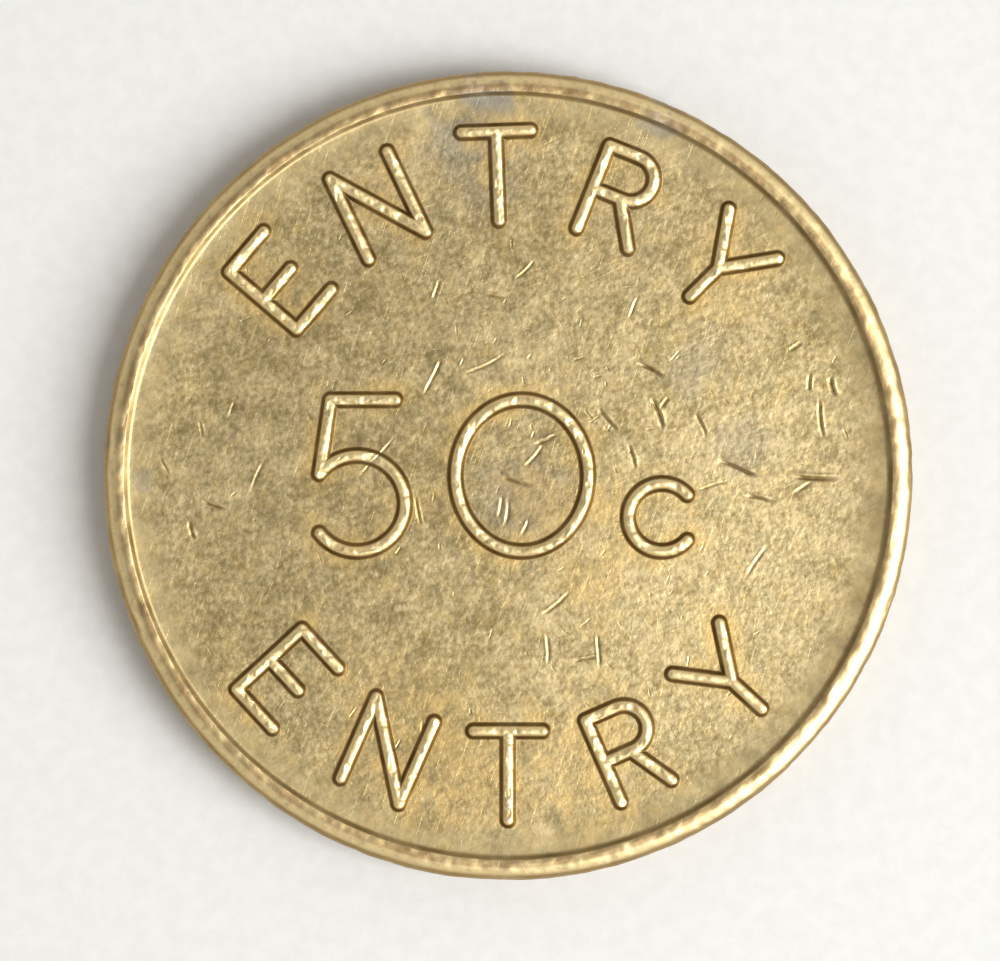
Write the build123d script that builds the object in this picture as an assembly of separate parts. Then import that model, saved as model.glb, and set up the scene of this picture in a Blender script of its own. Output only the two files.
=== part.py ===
from build123d import *
import os

# A fare token struck from one disc of brass.
#
# The blank is punched from sheet, rolled so that its edge thickens into a rim, and struck between
# two dies.  Both faces carry the same design: the rim, a word on an upper and a lower arc, and a
# value across the middle.  Every line of the design is a rounded bead standing on the flat field.
# The back is the front turned over about the vertical (Y) axis.
#
# Frame: millimetres, +Z up, the token lying flat with its legend upright along +Y.
# The origin is the centre of the plane that the lower rim rests on.

# ---- blank ----
DIAMETER = 22.0
THICKNESS = 1.65           # over both rims
RIM_HEIGHT = 0.18          # rim above the field
RIM_WIDTH = 0.70           # from the edge to the foot of the rim's inner wall
RIM_WALL_WIDTH = 0.10      # plan width of the steep inner wall
RIM_WALL_HEIGHT = 0.13     # height of that wall
RIM_BEVEL_WIDTH = 0.14     # plan width of the gentle slope above the wall
SHOULDER_RADIUS = 0.28     # round between the rim's top and the edge

# ---- beads of the design ----
BEAD_RADIUS = 0.25
BEAD_HEIGHT = 0.15         # bead's crown above the field

# ---- legend on the two arcs; sizes are between bead centres ----
WORD = "ENTRY"
LETTER_HEIGHT = 2.41
LETTER_RADIUS = 8.13       # token's centre to a letter's middle
LETTER_PITCH = 23.7        # degrees from one letter to the next
UPPER_MIDDLE = 92.0        # bearing of the upper word's middle letter, degrees from +X
LOWER_MIDDLE = 270.0

# ---- value across the middle; sizes are between bead centres ----
VALUE_HEIGHT = 4.11
ZERO_WIDTH = 3.60
FIVE_WIDTH = 2.38
FIVE_BOWL_RADIUS = 1.30
FIVE_BOWL_OPENING = 142.0  # degrees from +X to each end of the bowl
FIVE_BAR_LEFT = -0.84
FIVE_BAR_RIGHT = 0.93
CENT_RADIUS = 0.92
CENT_OPENING = 42.0        # degrees from +X to each end of the letter c
FIVE_X = -3.98
ZERO_X = 0.38
CENT_X = 4.18

RADIUS = DIAMETER / 2
HALF_THICKNESS = THICKNESS / 2
FIELD_Z = HALF_THICKNESS - RIM_HEIGHT
TOP = LETTER_HEIGHT / 2
FOOT = -LETTER_HEIGHT / 2


def joined(*points):
    """Straight edges that join the points in turn."""
    return [Line(start, end) for start, end in zip(points, points[1:])]


def letter_e(half_width=0.72, middle_arm=0.80):
    """Three arms on a stem; the middle arm is the shorter one."""
    middle_end = half_width * (2 * middle_arm - 1)
    outline = joined((half_width, TOP), (-half_width, TOP), (-half_width, FOOT), (half_width, FOOT))
    return outline + joined((-half_width, 0), (middle_end, 0))


def letter_n(half_width=0.86):
    return joined((-half_width, FOOT), (-half_width, TOP), (half_width, FOOT), (half_width, TOP))


def letter_t(half_width=0.94):
    return joined((-half_width, TOP), (half_width, TOP)) + joined((0, TOP), (0, FOOT))


def letter_r(half_width=0.75, bowl_radius=0.62, leg_x=0.05):
    """A stem, a half-round bowl and a straight leg."""
    bowl_x = half_width - bowl_radius
    waist = TOP - 2 * bowl_radius
    stem_and_top = joined((-half_width, FOOT), (-half_width, TOP), (bowl_x, TOP))
    bowl = [CenterArc((bowl_x, TOP - bowl_radius), bowl_radius, 90, -180)]
    waist_line = joined((bowl_x, waist), (-half_width, waist))
    leg = joined((leg_x, waist), (half_width, FOOT))
    return stem_and_top + bowl + waist_line + leg


def letter_y(half_width=0.94, fork_y=-0.12):
    arms = joined((-half_width, TOP), (0, fork_y), (half_width, TOP))
    return arms + joined((0, fork_y), (0, FOOT))


LETTERS = {"E": letter_e, "N": letter_n, "T": letter_t, "R": letter_r, "Y": letter_y}


def digit_five():
    """A bar, a leaning stem and an open round bowl."""
    bar_y = VALUE_HEIGHT / 2
    bowl_x = FIVE_WIDTH / 2 - FIVE_BOWL_RADIUS
    bowl_y = FIVE_BOWL_RADIUS - bar_y
    bowl = CenterArc((bowl_x, bowl_y), FIVE_BOWL_RADIUS, FIVE_BOWL_OPENING, -2 * FIVE_BOWL_OPENING)
    stem_foot = bowl @ 0
    return joined((FIVE_BAR_RIGHT, bar_y), (FIVE_BAR_LEFT, bar_y), (stem_foot.X, stem_foot.Y)) + [bowl]


def digit_zero():
    return list(Ellipse(ZERO_WIDTH / 2, VALUE_HEIGHT / 2).edges())


def letter_c():
    """A round c that stands on the digits' base line."""
    middle_y = CENT_RADIUS - VALUE_HEIGHT / 2
    return [CenterArc((0, middle_y), CENT_RADIUS, CENT_OPENING, 360 - 2 * CENT_OPENING)]


def arc_word(middle_bearing, feet_inward):
    """The word's glyphs on one arc, read from left to right, each a list of edges."""
    step = -LETTER_PITCH if feet_inward else LETTER_PITCH
    upright = -90 if feet_inward else 90
    glyphs = []
    for index, character in enumerate(WORD):
        bearing = middle_bearing + step * (index - (len(WORD) - 1) / 2)
        place = Rot(0, 0, bearing) * Pos(LETTER_RADIUS, 0) * Rot(0, 0, upright)
        glyphs.append([place * edge for edge in LETTERS[character]()])
    return glyphs


def value():
    """The value's glyphs, in a line across the middle."""
    placed = ((FIVE_X, digit_five()), (ZERO_X, digit_zero()), (CENT_X, letter_c()))
    return [[Pos(x, 0) * edge for edge in edges] for x, edges in placed]


def bead_rod(edge):
    """A round rod along an edge."""
    return sweep(Plane(origin=edge @ 0, z_dir=edge % 0) * Circle(BEAD_RADIUS), path=edge)


def bead_balls(edges):
    """One ball at each point where an edge ends, which rounds the free ends and the corners."""
    ends = {}
    for edge in edges:
        for end in (edge @ 0, edge @ 1):
            ends[(round(end.X, 4), round(end.Y, 4))] = end
    return [Pos(end) * Sphere(BEAD_RADIUS) for end in ends.values()]


def beads(edges):
    """A glyph's rods and balls, sunk so that only their crowns stand above the field."""
    lift = Pos(0, 0, FIELD_Z + BEAD_HEIGHT - BEAD_RADIUS)
    return [lift * solid for solid in [bead_rod(edge) for edge in edges] + bead_balls(edges)]


def half_blank():
    """The front half of the rimmed disc, revolved from its cross-section."""
    wall_foot = RADIUS - RIM_WIDTH
    wall_top = wall_foot + RIM_WALL_WIDTH
    crown_inner = wall_top + RIM_BEVEL_WIDTH
    outline = Polyline(
        (0, 0),
        (0, FIELD_Z),
        (wall_foot, FIELD_Z),
        (wall_top, FIELD_Z + RIM_WALL_HEIGHT),
        (crown_inner, HALF_THICKNESS),
        (RADIUS, HALF_THICKNESS),
        (RADIUS, 0),
        close=True,
    )
    section = make_face(outline)
    shoulder = section.vertices().sort_by(Axis.X).sort_by(Axis.Y)[-1]
    return revolve(Plane.XZ * fillet(shoulder, SHOULDER_RADIUS), Axis.Z)


def struck_token():
    """Two struck halves, back to back, as one solid."""
    glyphs = arc_word(UPPER_MIDDLE, True) + arc_word(LOWER_MIDDLE, False) + value()
    front = half_blank() + [solid for edges in glyphs for solid in beads(edges)]
    back = Rot(0, 180, 0) * front
    return Pos(0, 0, HALF_THICKNESS) * (front + back)


os.makedirs("parts", exist_ok=True)
export_step(struck_token(), "parts/struck_token.step")
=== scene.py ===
"""The looks of a struck brass fare token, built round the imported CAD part.

The CAD solid gives the token's true size and its plain design.  One closed mesh stands for it here,
with the same plan and the dish, dents, scratches and worn crowns of a token that has been in use.
Shapes are worked out in millimetres and turned into metres when the mesh is made.
"""

import math

import bpy
import numpy as np
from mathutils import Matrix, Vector


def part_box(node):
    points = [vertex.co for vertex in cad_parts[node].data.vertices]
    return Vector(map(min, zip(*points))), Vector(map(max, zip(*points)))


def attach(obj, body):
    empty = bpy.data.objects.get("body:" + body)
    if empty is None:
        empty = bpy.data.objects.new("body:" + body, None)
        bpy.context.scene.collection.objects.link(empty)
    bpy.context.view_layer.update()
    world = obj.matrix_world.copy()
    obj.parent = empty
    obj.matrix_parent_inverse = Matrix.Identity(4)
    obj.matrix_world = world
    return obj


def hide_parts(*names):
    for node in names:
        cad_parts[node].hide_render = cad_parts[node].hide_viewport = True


MM = 0.001
NODE = "struck_token"

# ---- rim and beads: the CAD part's, a little worn; millimetres ----
RIM_HEIGHT = 0.18          # rim above the field
RIM_WIDTH = 0.70           # from the edge to the foot of the rim's inner wall
RIM_WALL_WIDTH = 0.10      # plan width of the steep inner wall
RIM_WALL_HEIGHT = 0.16     # height of that wall
RIM_BEVEL_WIDTH = 0.09     # plan width of the gentle slope above the wall
RIM_BEVEL_DROP = 0.004     # the slope ends this far below the rim's top
FOOT_ROUND = 0.055         # reach of the round at the wall's foot, along each side of the turn
WALL_TOP_ROUND = 0.035     # of the one at the wall's top
BEVEL_TOP_ROUND = 0.03     # and of the one at the top of the slope
SHOULDER_WIDTH = 0.45      # the worn round from the rim's top to the edge: in plan
SHOULDER_DROP = 0.30       # and in height
SHOULDER_START = 84        # degrees up the round where its points begin; above it is the crown
BEAD_HALF_WIDTH = 0.218    # from a bead's centre line to its foot
BEAD_HEIGHT = 0.15         # bead's crown above the field
BEAD_SLOPE = 1.18          # steepness of a bead's sides
BEAD_CROWNING = 1.6        # how sharply its crown curves, per millimetre
BEAD_ROUNDING = 0.012      # softness of the turn between crown and side

# ---- legend, as in the CAD part; sizes are between bead centres ----
WORD = "ENTRY"
LETTER_HEIGHT = 2.41
LETTER_RADIUS = 8.13       # token's centre to a letter's middle
LETTER_PITCH = 23.7        # degrees from one letter to the next
UPPER_MIDDLE = 92.0        # bearing of the upper word's middle letter, degrees from +X
LOWER_MIDDLE = 270.0
VALUE_HEIGHT = 4.11
ZERO_WIDTH = 3.60
FIVE_WIDTH = 2.38
FIVE_BOWL_RADIUS = 1.30
FIVE_BOWL_OPENING = 142.0  # degrees from +X to each end of the bowl
FIVE_BAR_LEFT = -0.84
FIVE_BAR_RIGHT = 0.93
CENT_RADIUS = 0.92
CENT_OPENING = 42.0        # degrees from +X to each end of the letter c
FIVE_X = -3.98
ZERO_X = 0.38
CENT_X = 4.18

# ---- mesh ----
DISC_RINGS = 10            # rings of the coarse disc that is refined
DISC_MARGIN = 0.19         # the refined disc ends this far inside the foot of the rim's wall
SEAM_EDGES = 960           # edges round the seam between the disc and the rim
SEAM_SLACK = 1.2           # the disc's edges may be this many times a seam edge before they are halved
SEAM_BORDER = 0.25         # width of the disc's border that keeps the seam's edges
FINEST_EDGE = 0.032        # in the scratches and within this much of a bead's foot:
FOOT_REACH = 0.06
CROWN_EDGE = 0.05          # on the beads
COARSEST_EDGE = 0.30       # on the open field
EDGE_GROWTH = 0.34         # how fast edges lengthen away from a bead or a scratch
SIZE_CELL = 0.05           # the wanted lengths are looked up on a grid this fine
ARC_STEP = 0.09            # length of the straight steps along a round bead

# ---- layout of the bake's square: two discs and strips of the rim ----
UV_MARGIN = 0.006
UV_DISC = 0.285            # radius of each disc
UV_STRIPS = 6              # the rim's band is cut into this many strips
UV_STRIP_PITCH = 0.12

# ---- wear ----
DISH_DEPTH = 0.11          # the basined field rises this much from its middle to the rim
DISH_SINK = 0.05           # and its middle lies this much lower than the CAD part's flat field
DISH_START = 0.50          # share of the rim foot's radius where the rise begins
DISH_CURVE = 4.2           # how late the rise comes
FIELD_WAVES = 0.012        # full height of the field's faint waves
CROWN_WEAR = 0.018         # the most that the beads' crowns are rubbed down
CROWN_DENTS = 0.028        # the deepest dents in them
FINE_LUMPS = 0.014         # and their unevenness, fine and broad
BROAD_LUMPS = 0.024
RIM_WEAR = ((1.9, 0.010, 61), (0.36, 0.022, 62), (0.15, 0.012, 63))  # patch size, depth and seed
RIM_DINGS = 60             # small dents round each rim
DINGS_AT = 0.27            # how far in from the edge they crowd
NICKS = 150                # small scratches scattered over each face
NICK_FIELD = 9.4           # radius that they keep inside
CROWDED_SPOTS = 9          # places where they are closer together
CROWDED_SPREAD = 1.5
CROWDED_SHARE = 0.55
SOIL_DEPTH = 0.022         # scratches this deep hold dark soil
MARK_BOW = 0.06            # a scratch's bow, as a share of its length
BURR_HEIGHT = 0.35         # the burr along its side, as a share of its depth

# Bands of dirt, wear, painted shade and a painted reflection on the rim, by distance in from the edge:
# start, full, fading and end.
# The inner wall: dark tarnish, with painted shade.
WALL_DIRT_AND_SHADE = (0.76, 0.65, 0.63, 0.58)
CROWN_BROWN = (0.60, 0.56, 0.40, 0.32)
SHOULDER_RUB = (0.40, 0.32, 0.19, 0.12)
# Round the edge: a painted dark reflection, darker and browner.
EDGE_DARK_REFLECTION = (0.19, 0.12, -0.1, -0.2)  # runs on past the edge

# And on the beads, by distance from a bead's centre line: dark tarnish with painted shade along their sides
# and feet.
FLANK_DIRT_AND_SHADE = (0.105, 0.15, BEAD_HALF_WIDTH, BEAD_HALF_WIDTH + 0.05)

# Long scratches and dents in each face's own plane: x, y, bearing in degrees, length, width and depth.
FRONT_MARKS = (
    (-8.00, -0.80, -28, 0.75, 0.068, 0.025),
    (3.85, 2.85, -32, 0.85, 0.081, 0.032),
    (6.25, 0.19, -15, 1.30, 0.081, 0.034),
    (8.30, -0.03, -10, 1.40, 0.095, 0.034),
    (8.00, -0.31, 41, 0.70, 0.070, 0.014),
    (6.80, -0.62, -5, 0.75, 0.070, 0.022),
    (2.68, 1.53, -58, 0.90, 0.070, 0.024),
    (4.02, 1.68, -71, 1.00, 0.085, 0.034),
    (4.25, 1.95, 48, 0.40, 0.065, 0.024),
    (5.20, 1.38, -63, 0.75, 0.065, 0.020),
    (3.35, 0.51, -82, 0.75, 0.070, 0.026),
    (8.50, 1.53, -76, 1.15, 0.070, 0.024),
    (8.80, 2.42, -78, 0.60, 0.085, 0.034),
    (8.17, 2.53, -85, 0.55, 0.070, 0.020),
    (7.80, 3.50, 40, 0.45, 0.070, 0.020),
    (-6.77, -0.03, 62, 1.10, 0.060, 0.010),
    (-8.58, -1.50, -80, 0.60, 0.070, 0.020),
    (-8.35, 1.25, -88, 0.55, 0.055, 0.010),
    (-7.48, 1.80, 63, 0.60, 0.060, 0.008),
    (-9.32, 0.25, -70, 0.55, 0.055, 0.010),
    (6.75, -2.35, 64, 1.10, 0.070, 0.014),
    (1.05, -4.70, 88, 0.90, 0.061, 0.018),
    (2.45, -4.75, 86, 1.00, 0.061, 0.018),
    (2.10, -4.95, 2, 0.80, 0.054, 0.014),
    (1.30, -3.45, 34, 1.10, 0.061, 0.016),
    (-1.95, 5.05, 80, 0.60, 0.061, 0.018),
    (-0.50, 4.95, -12, 1.00, 0.054, 0.014),
    (0.45, 5.60, 42, 0.80, 0.054, 0.014),
    (-2.05, 2.70, 72, 1.20, 0.061, 0.016),
    (-0.65, 3.05, 28, 1.40, 0.054, 0.014),
    (1.00, 0.98, 17, 0.70, 0.068, 0.018),
    (0.70, 0.55, 46, 0.85, 0.061, 0.018),
    (0.20, -0.10, -21, 1.10, 0.095, 0.025),
    (-0.23, -0.85, 82, 0.70, 0.070, 0.014),
    (-0.05, -1.00, 84, 0.85, 0.070, 0.014),
    (0.45, -1.40, 62, 0.55, 0.060, 0.012),
    (-3.55, 0.52, 56, 1.65, 0.047, 0.014),
    (-2.45, -0.95, -70, 0.90, 0.061, 0.016),
    (3.40, 4.55, 60, 0.70, 0.054, 0.014),
    (5.55, -0.30, 10, 0.90, 0.047, 0.011),
)
BACK_MARKS = (
    (2.60, 3.10, 38, 1.60, 0.068, 0.022),
    (-6.20, 1.10, -52, 1.20, 0.074, 0.025),
    (-0.80, -0.30, 12, 1.50, 0.068, 0.018),
    (0.90, 0.90, 75, 0.90, 0.081, 0.022),
    (6.90, -1.60, 24, 1.30, 0.068, 0.022),
    (-2.20, -4.10, -8, 1.10, 0.061, 0.018),
    (3.10, -4.60, 61, 0.90, 0.061, 0.018),
    (-4.60, 4.20, -35, 1.40, 0.061, 0.018),
)

# Stained spots, and spots of painted shade, in each face's own plane: x, y, radius and strength.
FRONT_SPOTS = {
    "grey": (
        (-0.7, 10.4, 0.9, 0.9),
        (-0.4, 9.8, 0.8, 0.7),
        (4.2, 9.9, 0.7, 0.7),
        (-10.75, 0.9, 0.35, 0.9),
        (-9.9, -0.1, 0.35, 0.4),
        (-0.9, 9.2, 1.3, 0.6),
        (-0.6, 8.0, 1.2, 0.3),
        (0.2, -0.4, 1.7, 0.34),
        (5.2, 3.0, 1.0, 0.3),
        (6.4, 0.8, 0.9, 0.3),
    ),
    "rose": (
        (-1.6, -7.8, 2.4, 0.60),
        (2.2, -7.6, 2.2, 0.65),
        (-3.6, -5.6, 1.5, 0.25),
        (6.0, 5.4, 1.8, 0.25),
        (2.4, -2.9, 1.3, 0.5),
        (2.5, -0.6, 0.8, 0.6),
        (0.5, -0.6, 1.0, 0.4),
    ),
    # Dark soil at the first; the six along the right side, just inside the rim, are painted shade.
    "soil_and_shade": (
        (0.6, -0.7, 1.6, 0.22),
        (9.2, -4.8, 0.9, 0.20),
        (9.7, -3.2, 1.0, 0.32),
        (10.0, -1.2, 1.0, 0.38),
        (10.1, 0.8, 1.0, 0.38),
        (9.9, 2.8, 1.0, 0.30),
        (9.2, 4.6, 0.8, 0.15),
    ),
}
BACK_SPOTS = {
    "grey": (
        (4.8, 5.6, 1.3, 0.8),
        (-7.4, -6.2, 0.9, 0.7),
    ),
    "rose": (
        (-3.0, 3.6, 1.5, 0.6),
        (1.9, -2.9, 1.1, 0.5),
        (0.8, -8.0, 2.2, 0.6),
    ),
    "soil_and_shade": (
        (-6.8, 6.6, 1.6, 0.25),
        (7.6, -5.4, 1.4, 0.25),
    ),
}

STAIN_SEEDS = {"grey": 30, "rose": 40, "soil_and_shade": 45}  # for the spots' ragged edges; added to a face's own

# ---- brass ----
BRASS = (0.84, 0.66, 0.35)
DULL_BRASS = (0.48, 0.36, 0.155)
GOLDEN_BRASS = (0.80, 0.57, 0.215)
OLIVE_BRASS = (0.50, 0.43, 0.22)
GREY_TARNISH = (0.40, 0.38, 0.34)
ROSE_TARNISH = (0.88, 0.60, 0.225)
# Brown tarnish; round the edge it also colours the painted dark reflection.
BROWN_TARNISH_AND_DARK_REFLECTION = (0.66, 0.43, 0.20)
WORN_BRASS = (0.93, 0.73, 0.38)
# Dark tarnish and soil; the same colour paints shade along the beads and the rim's wall, and a dark
# reflection round the edge.
GRIME_AND_SHADE = (0.14, 0.080, 0.020)
GRAIN_DEPTH = 0.018        # full height of the grain
STAINS = ("grime", "worn", "grey", "rose", "brown", "calm")  # shares that the mesh holds at each point

# Sets of hairline scratches: bearing, shift of the pattern, length, width and share that shows.
HAIRLINES = (
    (24, 3.1, 1.5, 0.10, 0.42),
    (71, 8.7, 1.1, 0.09, 0.40),
    (-38, 14.2, 1.3, 0.10, 0.38),
    (118, 21.9, 0.9, 0.08, 0.40),
    (-8, 27.3, 1.7, 0.11, 0.36),
)
HAIRLINE_THINNESS = 0.035  # how far either side of the noise's middle value a line reaches

# ---- stage; metres and degrees ----
FLOOR_SIZE = 3.0
FLOOR_SQUARES = 8          # along each side
CARD_DARK = (0.70, 0.69, 0.66)
CARD_LIGHT = (0.74, 0.73, 0.70)
ROOM_LIGHT = (0.62, 0.60, 0.57)
SHADE_LIGHT = (0.17, 0.165, 0.155)  # where the camera and its holder keep the room's light away
SHADE_AZIMUTH = 165.0
SHADE_ELEVATION = 70.0
SHADE_CORE = 10.0          # from the shade's middle to where it starts to lighten
SHADE_END = 37.5           # and to where it ends
LAMP_AZIMUTH = -20.0
LAMP_ELEVATION = 46.0
LAMP_DISTANCE = 0.30
LAMP_SIZE = (0.14, 0.26)
LAMP_WATTS = 1.10
LAMP_COLOUR = (0.94, 0.97, 1.0)
CAMERA_HEIGHT = 0.09       # over the token's top
CAMERA_X = -0.00022
CAMERA_Y = -0.00013
VIEW_WIDTH = 0.02706       # width of the view at the token's top
SENSOR_WIDTH = 36.0        # millimetres, as is the lens

# A colour Mix node's sockets: both colours, and the result.
MIX_LOW, MIX_HIGH, MIX_RESULT = 6, 7, 2


# ---------------------------------------------------------------- design lines
def straight(*points):
    """A line through the points, as one array of points."""
    return np.array(points, float)


def round_line(centre, radii, start, turn):
    """Points along an arc of a circle or an ellipse, from a bearing through a turn, in degrees."""
    length = math.radians(abs(turn)) * max(radii)
    bearings = np.radians(start + turn * np.linspace(0, 1, 1 + math.ceil(length / ARC_STEP)))
    ring = np.stack([radii[0] * np.cos(bearings), radii[1] * np.sin(bearings)], 1)
    return ring + np.array(centre, float)


def letter_lines(character):
    """The lines of one letter, upright, with its middle at the origin."""
    top = LETTER_HEIGHT / 2
    foot = -top
    if character == "E":
        side = 0.72
        middle_arm = 0.6 * side
        return [
            straight((side, top), (-side, top), (-side, foot), (side, foot)),
            straight((-side, 0), (middle_arm, 0)),
        ]
    if character == "N":
        side = 0.86
        return [straight((-side, foot), (-side, top), (side, foot), (side, top))]
    if character == "T":
        side = 0.94
        return [straight((-side, top), (side, top)), straight((0, top), (0, foot))]
    if character == "R":
        side, bowl, leg = 0.75, 0.62, 0.05
        waist = top - 2 * bowl
        return [
            straight((-side, foot), (-side, top), (side - bowl, top)),
            round_line((side - bowl, top - bowl), (bowl, bowl), 90, -180),
            straight((side - bowl, waist), (-side, waist)),
            straight((leg, waist), (side, foot)),
        ]
    side, fork = 0.94, -0.12
    return [straight((-side, top), (0, fork), (side, top)), straight((0, fork), (0, foot))]


def value_lines():
    """The lines of the three figures across the middle, one list for each figure."""
    top = VALUE_HEIGHT / 2
    bowl_centre = (FIVE_X + FIVE_WIDTH / 2 - FIVE_BOWL_RADIUS, FIVE_BOWL_RADIUS - top)
    bowl_radii = (FIVE_BOWL_RADIUS, FIVE_BOWL_RADIUS)
    bowl = round_line(bowl_centre, bowl_radii, FIVE_BOWL_OPENING, -2 * FIVE_BOWL_OPENING)
    five = [straight((FIVE_X + FIVE_BAR_RIGHT, top), (FIVE_X + FIVE_BAR_LEFT, top), bowl[0]), bowl]
    zero = [round_line((ZERO_X, 0), (ZERO_WIDTH / 2, top), 0, 360)]
    cent_radii = (CENT_RADIUS, CENT_RADIUS)
    cent = [round_line((CENT_X, CENT_RADIUS - top), cent_radii, CENT_OPENING, 360 - 2 * CENT_OPENING)]
    return [five, zero, cent]


def turned(points, degrees):
    """Points turned about the origin."""
    cosine, sine = math.cos(math.radians(degrees)), math.sin(math.radians(degrees))
    return points @ np.array([[cosine, sine], [-sine, cosine]])


def word_lines(middle, feet_inward):
    """The lines of the word's letters on one arc, one list for each letter."""
    step = -LETTER_PITCH if feet_inward else LETTER_PITCH
    upright = -90 if feet_inward else 90
    letters = []
    for index, character in enumerate(WORD):
        bearing = middle + step * (index - (len(WORD) - 1) / 2)
        place = turned(np.array([[LETTER_RADIUS, 0.0]]), bearing)
        letters.append([turned(line, bearing + upright) + place for line in letter_lines(character)])
    return letters


def glyphs():
    """Each figure's and letter's straight steps, as (starts, ends)."""
    found = []
    for lines in word_lines(UPPER_MIDDLE, True) + word_lines(LOWER_MIDDLE, False) + value_lines():
        starts = np.concatenate([line[:-1] for line in lines])
        ends = np.concatenate([line[1:] for line in lines])
        found.append((starts, ends))
    return found


# ---------------------------------------------------------------- number fields
def smooth(x, low, high):
    """0 below low, 1 above high, and a smooth step between."""
    t = np.clip((x - low) / (high - low), 0, 1)
    return t * t * (3 - 2 * t)


def band(x, start, full, fading, end):
    """1 from full to fading, 0 before start and after end, and a smooth step between."""
    return smooth(x, start, full) * (1 - smooth(x, fading, end))


def hump(x, middle, width):
    """A bell that is 1 at its middle."""
    return np.exp(-(((x - middle) / width) ** 2))


def noise(points, size, seed, cells=128):
    """Smooth random numbers from 0 to 1 at 2-D points; they repeat after this many cells of this size."""
    table = np.random.default_rng(seed).random((cells, cells))
    scaled = points / size
    corner = np.floor(scaled).astype(int)
    part = scaled - corner
    part = part * part * (3 - 2 * part)
    x0, y0 = corner[:, 0] % cells, corner[:, 1] % cells
    x1, y1 = (x0 + 1) % cells, (y0 + 1) % cells
    low = table[x0, y0] * (1 - part[:, 0]) + table[x1, y0] * part[:, 0]
    high = table[x0, y1] * (1 - part[:, 0]) + table[x1, y1] * part[:, 0]
    return low * (1 - part[:, 1]) + high * part[:, 1]


def layered_noise(points, size, seed, layers=3):
    """Noise with finer and weaker layers added, still from 0 to 1."""
    total = np.zeros(len(points))
    for layer in range(layers):
        total += noise(points, size / 2**layer, seed + layer) / 2**layer
    return total / (2 - 0.5 ** (layers - 1))


def distance_to_steps(points, starts, ends):
    """Distance from each point to the nearest straight step."""
    run = ends - starts
    gap = points[:, None, :] - starts
    share = np.clip((gap * run).sum(2) / (run**2).sum(1), 0, 1)
    return np.sqrt(((gap - share[:, :, None] * run) ** 2).sum(2).min(1))


def bead_distance(points, reach=1.3):
    """Distance from each point to the nearest bead's centre line, up to reach."""
    nearest = np.full(len(points), reach)
    for starts, ends in GLYPHS:
        low = np.minimum(starts, ends).min(0) - reach
        high = np.maximum(starts, ends).max(0) + reach
        inside = np.flatnonzero(((points > low) & (points < high)).all(1))
        if len(inside):
            nearest[inside] = np.minimum(nearest[inside], distance_to_steps(points[inside], starts, ends))
    return nearest


def mark_frames(points, mark):
    """Along and across coordinates of the points in one mark's own frame."""
    x, y, bearing = mark[:3]
    local = turned(points - np.array([x, y]), -bearing)
    return local[:, 0], local[:, 1]


def mark_distance(points, marks, reach=1.2):
    """Distance from each point to the nearest mark's edge, up to reach."""
    nearest = np.full(len(points), reach)
    for mark in marks:
        length, width = mark[3], mark[4]
        close = np.flatnonzero((np.abs(points - np.array(mark[:2])) < length / 2 + reach).all(1))
        along, across = mark_frames(points[close], mark)
        past_end = np.maximum(np.abs(along) - length / 2, 0)
        past_side = np.maximum(np.abs(across) - 1.5 * width, 0)
        nearest[close] = np.minimum(nearest[close], np.hypot(past_end, past_side))
    return nearest


# ---------------------------------------------------------------- relief
def field_rise(radius):
    """Height of the slightly basined field over the flat one."""
    outward = np.clip((radius / WALL_FOOT - DISH_START) / (1 - DISH_START), 0, 1)
    return DISH_DEPTH * outward**DISH_CURVE - DISH_SINK


def undulation(points, seed):
    """The faint waves that striking and wear leave in the field."""
    return FIELD_WAVES * (layered_noise(points, 2.6, seed) - 0.5)


def bead_relief(points, distance, seed):
    """Height of the beads above the field: steep sides and a gentle crown, rubbed and dented.

    The height is the lower of the side and the crown where that is above the field, with both turns
    softened, the one at the foot half as much.
    """
    rubbed = CROWN_WEAR * smooth(noise(points, 0.9, seed + 5), 0.25, 0.9)
    dents = CROWN_DENTS * smooth(noise(points, 0.24, seed + 6), 0.50, 0.75)
    lumps = FINE_LUMPS * (noise(points, 0.12, seed + 7) - 0.5)
    lumps += BROAD_LUMPS * (noise(points, 0.42, seed + 8) - 0.5)
    crown = BEAD_HEIGHT - rubbed - dents + lumps - BEAD_CROWNING * np.minimum(distance, 0.3) ** 2
    side = BEAD_SLOPE * (BEAD_HALF_WIDTH - distance)
    raised = -BEAD_ROUNDING * np.logaddexp(-crown / BEAD_ROUNDING, -side / BEAD_ROUNDING)
    return 0.5 * BEAD_ROUNDING * np.logaddexp(0, 2 * raised / BEAD_ROUNDING) * (distance < 1)


def mark_shapes(points, marks):
    """Height and soil of the scratches, which are a little bent, with a burr thrown up along one side."""
    relief, soil_and_shade = np.zeros(len(points)), np.zeros(len(points))
    for mark in marks:
        length, width, depth = mark[3:]
        near = np.flatnonzero((np.abs(points - np.array(mark[:2])) < length / 2 + 5 * width).all(1))
        along, across = mark_frames(points[near], mark)
        bow_phase = 9 * width * mark[0]
        across += MARK_BOW * length * np.cos(3 * along / length + bow_phase)
        fading = 1 - smooth(np.abs(along) / length, 0.15, 0.5)
        rough = 0.6 + 0.8 * noise(points[near], 0.16, 7)
        groove = hump(across / width, 0.0, 0.55)
        burr = hump(across / width, 1.2, 0.45)
        relief[near] += depth * fading * rough * (BURR_HEIGHT * burr - groove)
        soil_and_shade[near] = np.maximum(soil_and_shade[near], fading * np.minimum(groove * depth / SOIL_DEPTH, 1))
    return relief, soil_and_shade


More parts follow.
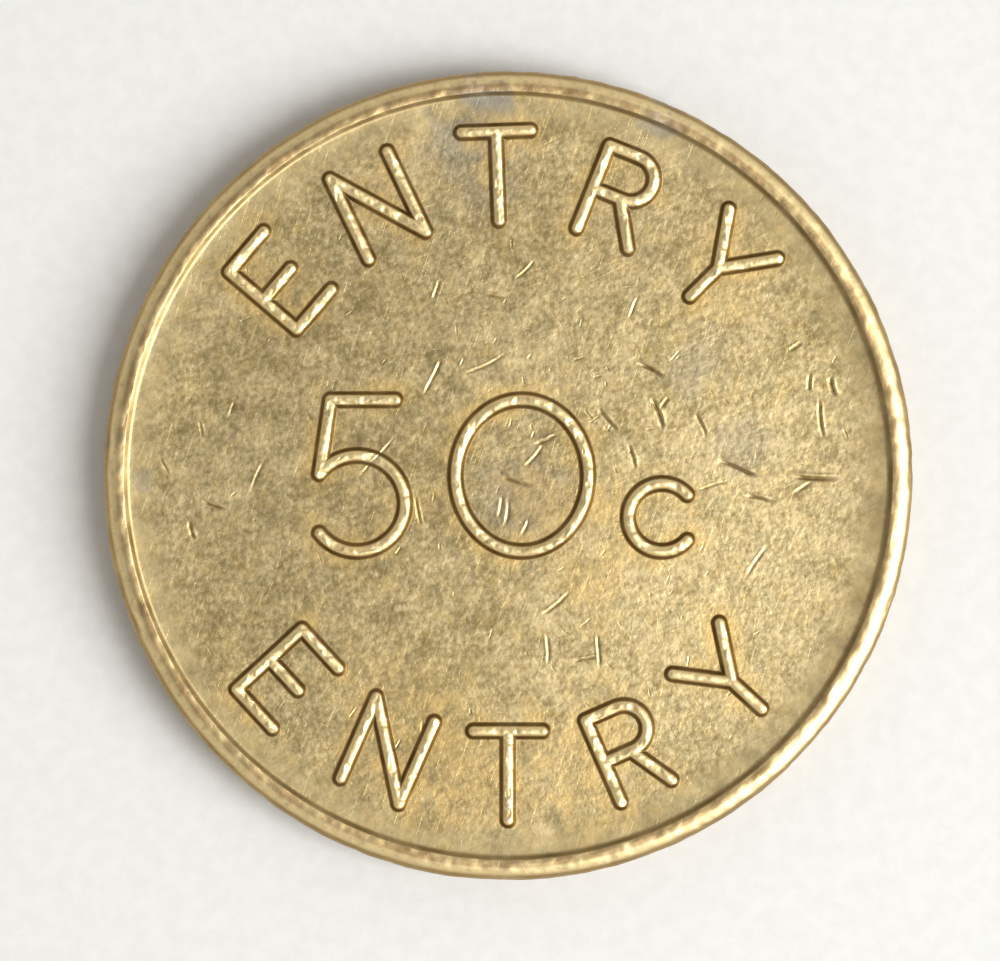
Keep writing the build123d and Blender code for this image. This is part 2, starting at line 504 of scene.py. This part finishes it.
def nicks(seed):
    """Small scratches scattered over a face, closer together in a few places."""
    random = np.random.default_rng(seed)
    crowded = random.uniform(-6, 6, (CROWDED_SPOTS, 2))
    found = []
    while len(found) < NICKS:
        centre = crowded[random.integers(len(crowded))]
        if random.random() < CROWDED_SHARE:
            place = random.normal(centre, CROWDED_SPREAD)
        else:
            place = random.uniform(-NICK_FIELD, NICK_FIELD, 2)
        length = random.uniform(0.10, 0.50) * random.uniform(0.5, 1.0)
        if np.hypot(*place) < NICK_FIELD:
            width = random.uniform(0.022, 0.038)
            depth = random.uniform(0.003, 0.010)
            bearing = random.uniform(-90, 90)
            found.append((*place, bearing, length, width, depth))
    return tuple(found)


def field_height(points, seed):
    """Height of one face's bare field above the token's middle plane."""
    return FIELD + field_rise(np.hypot(points[:, 0], points[:, 1])) + undulation(points, seed)


# ---------------------------------------------------------------- meshes
def coarse_disc(radius):
    """A disc of rings of triangles: ring number n has 6 n edges."""
    points = [(0.0, 0.0)]
    for ring in range(1, DISC_RINGS + 1):
        bearings = np.arange(6 * ring) * math.tau / (6 * ring)
        ring_radius = radius * ring / DISC_RINGS
        points += list(zip(ring_radius * np.cos(bearings), ring_radius * np.sin(bearings)))
    triangles = []
    for ring in range(1, DISC_RINGS + 1):
        outer = 1 + 3 * ring * (ring - 1)
        inner = 1 + 3 * (ring - 1) * (ring - 2)
        for sector in range(6):
            for step in range(ring):
                here = outer + sector * ring + step
                ahead = outer + (sector * ring + step + 1) % (6 * ring)
                below = inner + (sector * (ring - 1) + step) % (6 * (ring - 1)) if ring > 1 else 0
                triangles.append((here, ahead, below))
                if step < ring - 1:
                    beyond = inner + (sector * (ring - 1) + step + 1) % (6 * (ring - 1))
                    triangles.append((ahead, beyond, below))
    return np.array(points), np.array(triangles)


def refined(points, triangles, wanted, radius):
    """Halves the edges that are longer than wanted(middles), until none is.

    A triangle with a halved edge also has its longest edge halved, which keeps the triangles in
    good shape.  New points on the outer edge are put on the circle.
    """
    while True:
        sides = np.stack([triangles, np.roll(triangles, -1, 1)], 2).reshape(-1, 2)
        ordered = np.sort(sides, 1)
        keys = ordered[:, 0] * len(points) + ordered[:, 1]
        edges, edge_of, uses = np.unique(keys, return_inverse=True, return_counts=True)
        edge_of = edge_of.reshape(-1, 3)
        ends = np.stack([edges // len(points), edges % len(points)], 1)
        middles = points[ends].mean(1)
        lengths = np.linalg.norm(points[ends[:, 0]] - points[ends[:, 1]], axis=1)
        halved = lengths > wanted(middles)
        if not halved.any():
            return points, triangles
        longest = lengths[edge_of].argmax(1)
        longest_edge = edge_of[np.arange(len(triangles)), longest]
        while True:
            forced = longest_edge[halved[edge_of].any(1)]
            if halved[forced].all():
                break
            halved[forced] = True
        outer = uses == 1
        middles[outer] *= radius / np.linalg.norm(middles[outer], axis=1)[:, None]
        new_point = np.full(len(edges), -1)
        new_point[halved] = len(points) + np.arange(halved.sum())
        points = np.concatenate([points, middles[halved]])
        triangles = split_triangles(triangles, edge_of, longest, new_point)


def split_triangles(triangles, edge_of, longest, new_point):
    """Each triangle cut across its longest edge, and each half cut again if its outer edge is halved."""
    rows = np.arange(len(triangles))[:, None]
    order = (longest[:, None] + np.arange(3)) % 3
    a, b, c = triangles[rows, order].T
    middle_ab, middle_bc, middle_ca = new_point[edge_of[rows, order]].T
    cut = middle_ab >= 0
    halves = np.concatenate([np.stack([c, a, middle_ab], 1)[cut], np.stack([b, c, middle_ab], 1)[cut]])
    outer_middles = np.concatenate([middle_ca[cut], middle_bc[cut]])
    cut_again = outer_middles >= 0
    p, q, m = halves[cut_again].T
    n = outer_middles[cut_again]
    quarters = [np.stack([p, n, m], 1), np.stack([n, q, m], 1)]
    return np.concatenate([triangles[~cut], halves[~cut_again], *quarters])


def wanted_edge(points, marks):
    """The longest edge allowed at each point: short at the beads' feet and in the scratches."""
    distance = bead_distance(points)
    foot = np.abs(distance - BEAD_HALF_WIDTH)
    size = np.maximum(FINEST_EDGE, FINEST_EDGE + EDGE_GROWTH * (foot - FOOT_REACH))
    size = np.where(distance < BEAD_HALF_WIDTH, np.minimum(size, CROWN_EDGE), size)
    size = np.minimum(size, FINEST_EDGE + EDGE_GROWTH * mark_distance(points, marks))
    inset = SEAM_RADIUS - np.hypot(points[:, 0], points[:, 1])
    seam_edge = SEAM_SLACK * math.tau * SEAM_RADIUS / SEAM_EDGES
    seam = seam_edge + EDGE_GROWTH * np.maximum(inset - SEAM_BORDER, 0)
    size = np.minimum(np.minimum(size, seam), COARSEST_EDGE)
    return np.where(inset < SEAM_BORDER, seam_edge, size)


def edge_lookup(marks):
    """A quick way to find the longest edge allowed at points: a grid of the lengths, made once."""
    count = math.ceil(SEAM_RADIUS / SIZE_CELL) + 1
    side = SIZE_CELL * np.arange(-count, count + 1)
    grid = np.stack(np.meshgrid(side, side, indexing="ij"), 2)
    sizes = wanted_edge(grid.reshape(-1, 2), marks).reshape(len(side), len(side))

    def wanted(points):
        cell = np.rint(points / SIZE_CELL).astype(int) + count
        return sizes[cell[:, 0], cell[:, 1]]

    return wanted


class Face:
    """One struck face, in its own plane: x to the reader's right and y up."""

    def __init__(self, marks, spots, seed):
        self.spots, self.seed = spots, seed
        marks = marks + nicks(seed + 50)
        self.points, self.triangles = refined(*coarse_disc(SEAM_RADIUS), edge_lookup(marks), SEAM_RADIUS)
        distance = bead_distance(self.points)
        relief, soil_and_shade = mark_shapes(self.points, marks)
        self.heights = field_height(self.points, seed) + bead_relief(self.points, distance, seed) + relief
        self.add_stains(distance, soil_and_shade)

    def add_stains(self, distance, soil_and_shade):
        """How strongly each stain, and the painted shade along the beads and inside the rim at the right,
        covers each point.
        """
        points, seed = self.points, self.seed
        # Dark tarnish along the beads' sides and feet, with painted shade.
        flank = band(distance, *FLANK_DIRT_AND_SHADE) * (0.80 + 0.20 * noise(points, 0.35, seed + 20))
        self.grime = np.maximum(np.maximum(flank, 0.8 * soil_and_shade), self.stain(points, "soil_and_shade"))
        self.worn = 1 - smooth(distance, 0.10, 0.14)
        self.brown = np.zeros(len(points))
        self.calm = smooth(np.hypot(points[:, 0], points[:, 1]), 0.90 * WALL_FOOT, 0.98 * WALL_FOOT)
        self.grey = self.stain(points, "grey")
        round_beads = 1 - smooth(distance, BEAD_HALF_WIDTH, BEAD_HALF_WIDTH + 0.55)
        round_beads *= 0.75 * smooth(noise(points, 0.9, seed + 21), 0.25, 0.75)
        self.rose = np.maximum(self.stain(points, "rose"), round_beads)

    def stain(self, points, kind):
        """How strongly this face's spots of one kind cover each point; their edges are ragged."""
        ragged = 1.3 * (layered_noise(points, 0.55, self.seed + STAIN_SEEDS[kind]) - 0.5)
        cover = np.zeros(len(points))
        for x, y, radius, strength in self.spots[kind]:
            gap = np.hypot(points[:, 0] - x, points[:, 1] - y) / radius
            cover = np.maximum(cover, strength * smooth(1.1 - gap + ragged, 0, 0.7))
        return cover

    def seam(self):
        """The outer edge's points, in order of bearing from +X."""
        bearing = np.arctan2(self.points[:, 1], self.points[:, 0]) % math.tau
        outer = np.flatnonzero(np.hypot(self.points[:, 0], self.points[:, 1]) > SEAM_RADIUS - 1e-6)
        return outer[np.argsort(np.round(bearing[outer], 6) % round(math.tau, 6))]


def bend(before, corner, after, cut, steps=5):
    """Points that round a corner, from cut before it to cut after it."""
    before, corner, after = (np.array(point, float) for point in (before, corner, after))
    start = corner + cut * (before - corner) / np.linalg.norm(before - corner)
    end = corner + cut * (after - corner) / np.linalg.norm(after - corner)
    t = np.linspace(0, 1, steps)[:, None]
    return (1 - t) ** 2 * start + 2 * t * (1 - t) * corner + t**2 * end


def rim_section():
    """The rim's cross-section, from the front seam round the edge to the back seam: radius and height."""
    seam = (SEAM_RADIUS, FIELD)
    foot = (WALL_FOOT, FIELD)
    wall_top = (WALL_FOOT + RIM_WALL_WIDTH, FIELD + RIM_WALL_HEIGHT)
    bevel_top = (wall_top[0] + RIM_BEVEL_WIDTH, HALF - RIM_BEVEL_DROP)
    crown = (RADIUS - SHOULDER_WIDTH, HALF)
    turns = np.radians(np.linspace(SHOULDER_START, 0, 11))
    shoulder = np.stack([SHOULDER_WIDTH * np.cos(turns), SHOULDER_DROP * np.sin(turns)], 1)
    shoulder += (RADIUS - SHOULDER_WIDTH, HALF - SHOULDER_DROP)
    front = np.concatenate([
        [seam, (0.5 * (SEAM_RADIUS + WALL_FOOT - FOOT_ROUND), FIELD)],
        bend(seam, foot, wall_top, FOOT_ROUND, 9),
        bend(foot, wall_top, bevel_top, WALL_TOP_ROUND),
        bend(wall_top, bevel_top, crown, BEVEL_TOP_ROUND),
        shoulder,
        [(RADIUS, share * (HALF - SHOULDER_DROP)) for share in (0.75, 0.5, 0.25)],
    ])
    return np.concatenate([front, [(RADIUS, 0.0)], front[::-1] * (1, -1)])


def ring_noise(around, across, size, seed):
    """Noise on the rim's surface, from 0 to 1, that meets itself after one turn."""
    cells = round(math.tau * RADIUS / size)
    points = np.stack([(around / math.tau * cells).ravel(), (across / size).ravel()], 1)
    return noise(points, 1.0, seed, cells).reshape(around.shape)


def rim_dents(around, across, crown_at, seed):
    """Depth of the dings round one side of the rim."""
    random = np.random.default_rng(seed)
    depth = np.zeros(around.shape)
    for _ in range(RIM_DINGS):
        bearing = random.uniform(0, math.tau)
        place = crown_at + random.uniform(-0.12, 0.34)
        length = random.uniform(0.06, 0.32)
        width = random.uniform(0.04, 0.10)
        deep = random.uniform(0.006, 0.030)
        gap = (around - bearing + math.pi) % math.tau - math.pi
        depth += deep * hump(gap * RADIUS, 0, length) * hump(across, place, width)
    return depth


def rim_band(place, insets):
    """A band of the rim, at these distances in from the edge, as a column with one row for each place."""
    return band(place, *(RADIUS - inset for inset in insets))[:, None]


class Rim:
    """The rows of points from the front seam, over both rims and the edge, to the back seam."""

    def __init__(self, front, back):
        section = rim_section()
        steps = np.linalg.norm(np.diff(section, axis=0), axis=1)
        self.across = np.concatenate([[0], np.cumsum(steps)])
        self.surface = np.meshgrid(np.arange(SEAM_EDGES) * math.tau / SEAM_EDGES, self.across)
        self.faces = (front, back)
        self.side = np.where(np.arange(len(section)) <= len(section) // 2, 1, -1)[:, None]
        around = self.surface[0]
        self.flat_x, self.flat_y = section[:, :1] * np.cos(around), section[:, :1] * np.sin(around)
        radius, height = self.worn_rows(section)
        self.points = np.stack([radius * np.cos(around), radius * np.sin(around), height], 2)
        self.add_stains(section[:, 0], radius)

    def on_faces(self, value):
        """What value(face, points) gives for each row, from the face on the row's own side."""
        found = []
        for face, turn in zip(self.faces, (1, -1)):
            plane = np.stack([turn * self.flat_x.ravel(), self.flat_y.ravel()], 1)
            found.append(value(face, plane).reshape(self.flat_x.shape))
        return np.where(self.side == 1, *found)

    def wear(self, section):
        """Depth that is worn off: rubbed all over, and dinged round both rims."""
        front_half = section[: len(section) // 2, 0]
        crown_at = self.across[np.argmin(np.abs(front_half - RADIUS + DINGS_AT))]
        rubbed = sum(depth * ring_noise(*self.surface, size, seed) for size, depth, seed in RIM_WEAR)
        dents = rim_dents(*self.surface, crown_at, 64)
        dents += rim_dents(*self.surface, self.across[-1] - crown_at, 65)
        return smooth(section[:, :1], WALL_FOOT, WALL_FOOT + RIM_WALL_WIDTH) * (rubbed + dents)

    def worn_rows(self, section):
        """Radius and height of each point, worn inwards, with the field's rise and waves at the seams."""
        radius, height = section[:, :1], section[:, 1:]
        run = np.gradient(section, axis=0)
        run /= np.linalg.norm(run, axis=1)[:, None]
        waves = self.on_faces(lambda face, plane: undulation(plane, face.seed))
        fade = np.clip(1 - (np.abs(height) - FIELD) / RIM_HEIGHT, 0, 1) * (radius < RADIUS - SHOULDER_WIDTH)
        inward = self.wear(section)
        height = height + self.side * fade * (field_rise(radius) + waves) - inward * run[:, :1]
        return radius + inward * run[:, 1:], height

    def add_stains(self, place, radius):
        """How strongly each stain, the painted shade and the painted dark reflection cover each point;
        place is each row's radius before it was worn.
        """
        wall, crown, shoulder, edge = (
            rim_band(place, insets) for insets in (WALL_DIRT_AND_SHADE, CROWN_BROWN, SHOULDER_RUB, EDGE_DARK_REFLECTION)
        )
        spread = {kind: self.on_faces(lambda face, plane: face.stain(plane, kind)) for kind in STAIN_SEEDS}
        # Dark tarnish with painted shade at the inner wall, and a painted dark reflection round the edge.
        dirt_and_shade = (wall + 0.6 * edge) * (0.6 + 0.4 * ring_noise(*self.surface, 0.7, 66))
        # The soil spots, and the painted shade inside the rim at the right, reach onto the wall's foot.
        self.grime = np.maximum(dirt_and_shade, (radius < WALL_FOOT + 0.03) * spread["soil_and_shade"])
        self.worn = shoulder * np.ones(radius.shape)
        blotches = smooth(ring_noise(*self.surface, 0.9, 67), 0.1, 0.7)
        # Brown tarnish on the crown; round the edge, part of the painted dark reflection.
        self.brown = (0.9 * crown + 0.7 * edge) * (0.55 + 0.45 * blotches)
        self.calm = np.ones(radius.shape)
        self.grey, self.rose = spread["grey"], spread["rose"]


def disc_uvs(face, centre):
    """Texture places of one face: a disc in the bake's square, its centre as far across as up."""
    return face.points / SEAM_RADIUS * UV_DISC + centre


def strip_uvs(rim):
    """Texture places of the rim's squares, corner by corner: strips stacked in two corners of the bake."""
    grid = np.meshgrid(np.arange(len(rim.across) - 1), np.arange(SEAM_EDGES), indexing="ij")
    row, column = (index.ravel() for index in grid)
    per_strip = SEAM_EDGES // UV_STRIPS
    strip = column // per_strip
    scale = UV_DISC / SEAM_RADIUS
    corners = []
    for down, along in ((0, 0), (1, 0), (1, 1), (0, 1)):
        u = (column - strip * per_strip + along) * math.tau * RADIUS / SEAM_EDGES * scale
        v = rim.across[row + down] * scale + (strip % (UV_STRIPS // 2)) * UV_STRIP_PITCH
        second = strip >= UV_STRIPS // 2
        corners.append(np.stack([np.where(second, 1 - UV_MARGIN - u, UV_MARGIN + u),
                                 np.where(second, UV_MARGIN + v, 1 - UV_MARGIN - v)], 1))
    return np.stack(corners, 1).reshape(-1, 2)


def smooth_mesh(points, triangles, squares):
    """A smooth-shaded mesh of triangles and then squares."""
    mesh = bpy.data.meshes.new("token")
    mesh.vertices.add(len(points))
    mesh.vertices.foreach_set("co", points.ravel())
    corners = np.concatenate([triangles.ravel(), squares.ravel()])
    starts = np.concatenate([3 * np.arange(len(triangles)), triangles.size + 4 * np.arange(len(squares))])
    mesh.loops.add(len(corners))
    mesh.loops.foreach_set("vertex_index", corners)
    mesh.polygons.add(len(starts))
    mesh.polygons.foreach_set("loop_start", starts)
    mesh.polygons.foreach_set("use_smooth", np.ones(len(starts), bool))
    mesh.update(calc_edges=True)
    return mesh


def token_mesh(front, back, rim):
    """One closed mesh of the two faces and the rim between them, in metres, resting on z = 0."""
    count = len(front.points)
    front_points = np.column_stack([front.points, front.heights])
    back_points = np.column_stack([back.points, back.heights]) * (-1, 1, -1)
    points = np.concatenate([front_points, back_points, rim.points[1:-1].reshape(-1, 3)])
    points[:, 2] += HALF
    triangles = np.concatenate([front.triangles, back.triangles + count])

    rows = len(rim.across)
    index = np.zeros((rows, SEAM_EDGES), int)
    index[0] = front.seam()
    index[-1] = count + np.roll(back.seam()[::-1], SEAM_EDGES // 2 + 1)
    index[1:-1] = count + len(back.points) + np.arange((rows - 2) * SEAM_EDGES).reshape(-1, SEAM_EDGES)
    ahead = np.roll(index, -1, 1)
    squares = np.stack([index[:-1], index[1:], ahead[1:], ahead[:-1]], 2).reshape(-1, 4)

    mesh = smooth_mesh(points * MM, triangles, squares)
    uvs = np.concatenate([
        disc_uvs(front, UV_DISC + UV_MARGIN)[front.triangles.ravel()],
        disc_uvs(back, 1 - UV_DISC - UV_MARGIN)[back.triangles.ravel()],
        strip_uvs(rim),
    ])
    mesh.uv_layers.new(name="OFBake").data.foreach_set("uv", uvs.ravel())
    for stain in STAINS:
        values = [getattr(front, stain), getattr(back, stain), getattr(rim, stain)[1:-1].ravel()]
        attribute = mesh.attributes.new(stain, "FLOAT", "POINT")
        attribute.data.foreach_set("value", np.concatenate(values).astype(np.float32))
    return mesh


# ---------------------------------------------------------------- material
class Shader:
    """A material's nodes, added one at a time and joined through their sockets."""

    def __init__(self, name):
        self.material = bpy.data.materials.new(name)
        self.material.use_nodes = True
        self.tree = self.material.node_tree
        self.surface = self.tree.nodes["Principled BSDF"]

    def add(self, kind, inputs, **settings):
        """A new node with its settings and inputs."""
        node = self.tree.nodes.new(kind)
        for setting, value in settings.items():
            setattr(node, setting, value)
        self.feed(node, inputs)
        return node

    def feed(self, node, inputs):
        """Sets a node's inputs, each from a number, a colour or another node's socket."""
        for name, value in inputs.items():
            if isinstance(value, bpy.types.NodeSocket):
                self.tree.links.new(value, node.inputs[name])
            else:
                node.inputs[name].default_value = value

    def math(self, operation, first, second=0.0):
        """The result of one operation on two values."""
        return self.add("ShaderNodeMath", {0: first, 1: second}, operation=operation).outputs[0]

    def step(self, value, low, high):
        """0 at low and on its far side, 1 at high and on its far side, and a smooth step between."""
        ranged = self.add("ShaderNodeMapRange", {"Value": value, "From Min": low, "From Max": high},
                          interpolation_type="SMOOTHSTEP")
        return ranged.outputs["Result"]

    def mix(self, factor, low, high):
        """A colour between low, which is another node's socket or a colour, and the colour high."""
        low = low if isinstance(low, bpy.types.NodeSocket) else (*low, 1)
        inputs = {"Factor": factor, MIX_LOW: low, MIX_HIGH: (*high, 1)}
        return self.add("ShaderNodeMix", inputs, data_type="RGBA").outputs[MIX_RESULT]

    def noise(self, size_mm, place, detail=2.0, roughness=0.5):
        """Noise from about 0 to 1, with features of this size."""
        node = self.add("ShaderNodeTexNoise", {"Vector": place, "Scale": 1 / MM / size_mm, "Detail": detail,
                                               "Roughness": roughness})
        return node.outputs["Fac"]

    def attribute(self, name):
        """One of the shares that the mesh holds."""
        return self.add("ShaderNodeAttribute", {}, attribute_name=name).outputs["Fac"]

    def scratches(self, place, turn, shift, length_mm, width_mm, amount):
        """Fine straight scratches along one bearing: thin level lines of stretched noise, broken up."""
        lain = self.add("ShaderNodeMapping", {"Vector": place, "Location": (shift * MM, shift * MM, 0),
                                              "Rotation": (0, 0, math.radians(turn)),
                                              "Scale": (length_mm, width_mm, 1)}, vector_type="TEXTURE")
        lines = self.noise(1.0, lain.outputs[0], detail=0.0)
        off_line = self.math("ABSOLUTE", self.math("SUBTRACT", lines, 0.5))
        line = self.math("SUBTRACT", 1.0, self.step(off_line, 0.0, HAIRLINE_THINNESS))
        patches = self.step(self.noise(0.9, lain.outputs[0], detail=0.0), 1 - amount, 1.08 - amount)
        return self.math("MULTIPLY", line, patches)


def brass_colour(shader, place, mottle, speck, stains, lively):
    """Bare brass from dull to bright and from golden to olive, with the stains, the painted shade and a
    painted dark reflection over it.
    """
    broad = shader.noise(3.0, place, detail=3.0, roughness=0.6)
    tint = shader.noise(0.45, place, detail=4.0, roughness=0.7)
    tone = shader.math("ADD", shader.math("MULTIPLY", broad, 0.28), shader.math("MULTIPLY", mottle, 0.20))
    tone = shader.math("ADD", tone, shader.math("MULTIPLY", speck, 0.52))
    tone = shader.math("MULTIPLY", shader.math("SUBTRACT", tone, 0.52), lively)
    golden = shader.math("MULTIPLY", shader.step(tint, 0.50, 0.72), 0.50)
    olive = shader.math("MULTIPLY", shader.step(tint, 0.48, 0.28), 0.55)
    grey = shader.math("MULTIPLY", stains["grey"], 0.8)
    rose = shader.math("MULTIPLY", stains["rose"], shader.step(mottle, 0.25, 0.6))
    brown = shader.math("MULTIPLY", stains["brown"], shader.step(mottle, 0.75, 0.35))
    worn = shader.math("MULTIPLY", stains["worn"], shader.step(speck, 0.75, 0.50))
    colour = shader.mix(shader.step(tone, -0.15, 0.11), DULL_BRASS, BRASS)
    colour = shader.mix(golden, colour, GOLDEN_BRASS)
    colour = shader.mix(olive, colour, OLIVE_BRASS)
    colour = shader.mix(grey, colour, GREY_TARNISH)
    colour = shader.mix(rose, colour, ROSE_TARNISH)
    # Brown tarnish, and the painted dark reflection round the edge.
    colour = shader.mix(brown, colour, BROWN_TARNISH_AND_DARK_REFLECTION)
    colour = shader.mix(worn, colour, WORN_BRASS)
    # Dark tarnish and soil, with the painted shade and dark reflection, in one dark brown.
    return shader.mix(stains["grime"], colour, GRIME_AND_SHADE)


def brass_grain(shader, place, speck, lively):
    """The normals of a fine pitted grain, crossed by hairline scratches."""
    scratches = 0.0
    for settings in HAIRLINES:
        scratches = shader.math("MAXIMUM", scratches, shader.scratches(place, *settings))
    fleck = shader.noise(0.24, place, detail=2.0, roughness=0.55)
    height = shader.math("ADD", shader.math("MULTIPLY", fleck, 0.60), shader.math("MULTIPLY", speck, 0.25))
    height = shader.math("MULTIPLY", height, lively)
    height = shader.math("SUBTRACT", height, shader.math("MULTIPLY", scratches, 0.05))
    bump = shader.add("ShaderNodeBump", {"Strength": 1.0, "Distance": GRAIN_DEPTH * MM, "Height": height})
    return bump.outputs["Normal"]


def brass_roughness(shader, mottle, stains):
    """Satin in patches, a little rougher where it is worn, dirty or painted with shade."""
    satin = shader.add("ShaderNodeMapRange", {"Value": mottle, "From Min": 0.3, "From Max": 0.7,
                                              "To Min": 0.32, "To Max": 0.44}).outputs["Result"]
    satin = shader.math("ADD", satin, shader.math("MULTIPLY", stains["worn"], 0.06))
    return shader.math("ADD", satin, shader.math("MULTIPLY", stains["grime"], 0.15))


def brass_material():
    """Worn, tarnished brass: flecked and mottled, with a fine pitted grain and hairline scratches."""
    shader = Shader("struck_brass")
    place = shader.add("ShaderNodeTexCoord", {}).outputs["Object"]
    mottle = shader.noise(0.70, place, detail=4.0, roughness=0.65)
    speck = shader.noise(0.16, place, detail=2.0, roughness=0.6)
    stains = {name: shader.attribute(name) for name in STAINS}
    lively = shader.math("SUBTRACT", 1.0, shader.math("MULTIPLY", stains["calm"], 0.65))
    shader.feed(shader.surface, {
        "Base Color": brass_colour(shader, place, mottle, speck, stains, lively),
        "Metallic": 1.0,
        "Roughness": brass_roughness(shader, mottle, stains),
        "Normal": brass_grain(shader, place, speck, lively),
    })
    return shader.material


def floor_material():
    """Smooth pale card with a faint tooth."""
    shader = Shader("pale_card")
    place = shader.add("ShaderNodeTexCoord", {}).outputs["Object"]
    tooth = shader.noise(0.5, place, detail=4.0, roughness=0.6)
    bump = shader.add("ShaderNodeBump", {"Strength": 0.5, "Distance": 0.004 * MM, "Height": tooth})
    shader.feed(shader.surface, {
        "Base Color": shader.mix(shader.step(tooth, 0.3, 0.7), CARD_DARK, CARD_LIGHT),
        "Roughness": 0.85,
        "Normal": bump.outputs["Normal"],
    })
    return shader.material


# ---------------------------------------------------------------- stage
def floor():
    """A wide pale floor in squares, level with the plane that the token rests on."""
    mesh = bpy.data.meshes.new("floor")
    row = FLOOR_SQUARES + 1
    side = np.linspace(-FLOOR_SIZE / 2, FLOOR_SIZE / 2, row)
    points = [(x, y, 0.0) for y in side for x in side]
    corners = [i + row * j for j in range(FLOOR_SQUARES) for i in range(FLOOR_SQUARES)]
    mesh.from_pydata(points, [], [(first, first + 1, first + row + 1, first + row) for first in corners])
    mesh.materials.append(floor_material())
    return linked("floor", mesh)


def linked(name, data):
    """A new object in the scene."""
    made = bpy.data.objects.new(name, data)
    bpy.context.scene.collection.objects.link(made)
    return made


def towards(azimuth, elevation):
    """The direction with this azimuth and elevation, in degrees."""
    around, up = math.radians(azimuth), math.radians(elevation)
    return Vector((math.cos(around) * math.cos(up), math.sin(around) * math.cos(up), math.sin(up)))


def lamp():
    """A large soft lamp at the right, which faces the token."""
    data = bpy.data.lights.new("side_lamp", "AREA")
    data.shape = "RECTANGLE"
    data.size, data.size_y = LAMP_SIZE
    data.energy = LAMP_WATTS
    data.color = LAMP_COLOUR
    made = linked("side_lamp", data)
    direction = towards(LAMP_AZIMUTH, LAMP_ELEVATION)
    made.location = direction * LAMP_DISTANCE
    made.rotation_euler = direction.to_track_quat("Z", "Y").to_euler()


def camera():
    """Straight above the token, which fills most of the frame."""
    data = bpy.data.cameras.new("camera")
    data.sensor_width = SENSOR_WIDTH
    data.lens = SENSOR_WIDTH * CAMERA_HEIGHT / VIEW_WIDTH
    data.clip_start = 0.01
    data.clip_end = 10.0
    made = linked("camera", data)
    made.location = (CAMERA_X, CAMERA_Y, THICKNESS * MM + CAMERA_HEIGHT)
    bpy.context.scene.camera = made


def room():
    """Soft light from all round, but for the shade of the camera and its holder."""
    world = bpy.data.worlds.new("studio")
    bpy.context.scene.world = world
    world.use_nodes = True
    tree = world.node_tree
    direction = tree.nodes.new("ShaderNodeTexCoord")
    nearness = tree.nodes.new("ShaderNodeVectorMath")
    nearness.operation = "DOT_PRODUCT"
    nearness.inputs[1].default_value = towards(SHADE_AZIMUTH, SHADE_ELEVATION)
    share = tree.nodes.new("ShaderNodeMapRange")
    share.interpolation_type = "SMOOTHSTEP"
    share.inputs["From Min"].default_value = math.cos(math.radians(SHADE_END))
    share.inputs["From Max"].default_value = math.cos(math.radians(SHADE_CORE))
    blend = tree.nodes.new("ShaderNodeMix")
    blend.data_type = "RGBA"
    blend.inputs[MIX_LOW].default_value = (*ROOM_LIGHT, 1)
    blend.inputs[MIX_HIGH].default_value = (*SHADE_LIGHT, 1)
    tree.links.new(direction.outputs["Generated"], nearness.inputs[0])
    tree.links.new(nearness.outputs["Value"], share.inputs["Value"])
    tree.links.new(share.outputs["Result"], blend.inputs["Factor"])
    tree.links.new(blend.outputs[MIX_RESULT], tree.nodes["Background"].inputs["Color"])


def studio():
    """The soft room, the lamp, the pale floor and the camera."""
    room()
    lamp()
    floor()
    camera()
    bpy.context.scene.view_settings.view_transform = "Standard"


# ---------------------------------------------------------------- scene
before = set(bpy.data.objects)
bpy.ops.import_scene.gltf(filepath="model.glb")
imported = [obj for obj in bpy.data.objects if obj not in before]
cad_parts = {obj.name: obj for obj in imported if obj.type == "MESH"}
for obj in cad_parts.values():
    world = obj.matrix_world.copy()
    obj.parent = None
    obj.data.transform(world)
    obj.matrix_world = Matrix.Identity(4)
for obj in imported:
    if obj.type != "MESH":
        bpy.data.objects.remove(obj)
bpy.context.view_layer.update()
low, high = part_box(NODE)
RADIUS = (high.x - low.x) / 2 / MM
THICKNESS = (high.z - low.z) / MM
HALF = THICKNESS / 2
WALL_FOOT = RADIUS - RIM_WIDTH
SEAM_RADIUS = WALL_FOOT - DISC_MARGIN
FIELD = HALF - RIM_HEIGHT
GLYPHS = glyphs()

front_face = Face(FRONT_MARKS, FRONT_SPOTS, seed=100)
back_face = Face(BACK_MARKS, BACK_SPOTS, seed=300)
token = linked("token", token_mesh(front_face, back_face, Rim(front_face, back_face)))
token.data.materials.append(brass_material())
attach(token, "root")
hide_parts(NODE)

studio()
